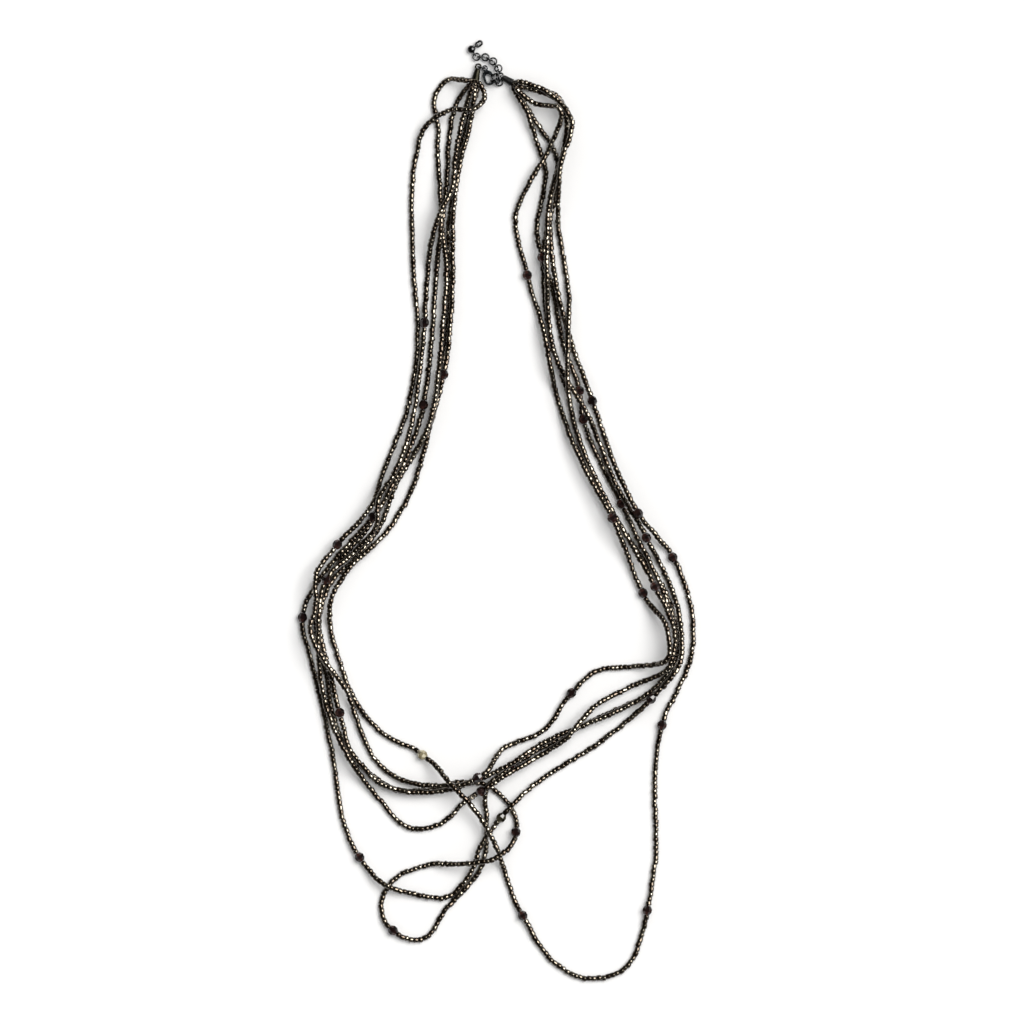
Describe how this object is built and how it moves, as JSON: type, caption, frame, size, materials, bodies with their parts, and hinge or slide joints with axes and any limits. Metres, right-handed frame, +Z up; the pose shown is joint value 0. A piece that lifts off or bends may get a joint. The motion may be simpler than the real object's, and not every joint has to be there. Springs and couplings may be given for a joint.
{
  "type": "necklace",
  "caption": "Long multi strand necklace of dark seed beads with faceted crystals, joined at two end cones by a lobster clasp and a short chain with a ball and drop.",
  "frame": {"origin": "middle of the outline of the necklace lying flat, on the surface it rests on", "axes": "+Z up from the surface, +Y along the length from the loose bottom loops towards the clasp, +X to the right seen from above"},
  "size_m": [0.1666, 0.3954, 0.0126],
  "materials": {
    "bead_glass": "dark bronze metallic glass, polished",
    "crystal_glass": "dark smoky brown, faceted and polished",
    "dark_metal": "dark gunmetal plating",
    "clasp_metal": "blue grey gunmetal plating, polished"
  },
  "bodies": {
    "necklace": {"string_1": "bead_glass", "string_2": "bead_glass", "string_3": "bead_glass", "string_4": "bead_glass", "string_5": "bead_glass", "string_6": "bead_glass", "crystal_01": "crystal_glass", "crystal_02": "crystal_glass", "crystal_03": "crystal_glass", "crystal_04": "crystal_glass", "crystal_05": "crystal_glass", "crystal_06": "crystal_glass", "crystal_07": "crystal_glass", "crystal_08": "crystal_glass", "crystal_09": "crystal_glass", "crystal_10": "crystal_glass", "crystal_11": "crystal_glass", "crystal_12": "crystal_glass", "crystal_13": "crystal_glass", "crystal_14": "crystal_glass", "crystal_15": "crystal_glass", "crystal_16": "crystal_glass", "crystal_17": "crystal_glass", "crystal_18": "crystal_glass", "crystal_19": "crystal_glass", "crystal_20": "crystal_glass", "crystal_21": "crystal_glass", "crystal_22": "crystal_glass", "crystal_23": "crystal_glass", "crystal_24": "crystal_glass", "crystal_25": "crystal_glass", "crystal_26": "crystal_glass", "crystal_27": "crystal_glass", "crystal_28": "crystal_glass", "crystal_29": "crystal_glass", "crystal_30": "crystal_glass", "crystal_31": "crystal_glass", "crystal_32": "crystal_glass", "crystal_33": "crystal_glass", "end_cone_left": "dark_metal", "end_cone_right": "dark_metal", "clasp_ring": "dark_metal", "clasp_body": "clasp_metal", "chain": "dark_metal", "end_ball": "dark_metal", "end_drop": "dark_metal"},
    "lever": {"clasp_lever": "clasp_metal"}
  },
  "joints": [
    {"name": "clasp_lever_hinge", "type": "hinge", "parent": "necklace", "child": "lever", "pos_m": [-0.00253, 0.18367, 0.00215], "axis": [0, 0, -1], "range_deg": [0, 10], "stiffness_Nm_per_rad": 0.0005}
  ]
}
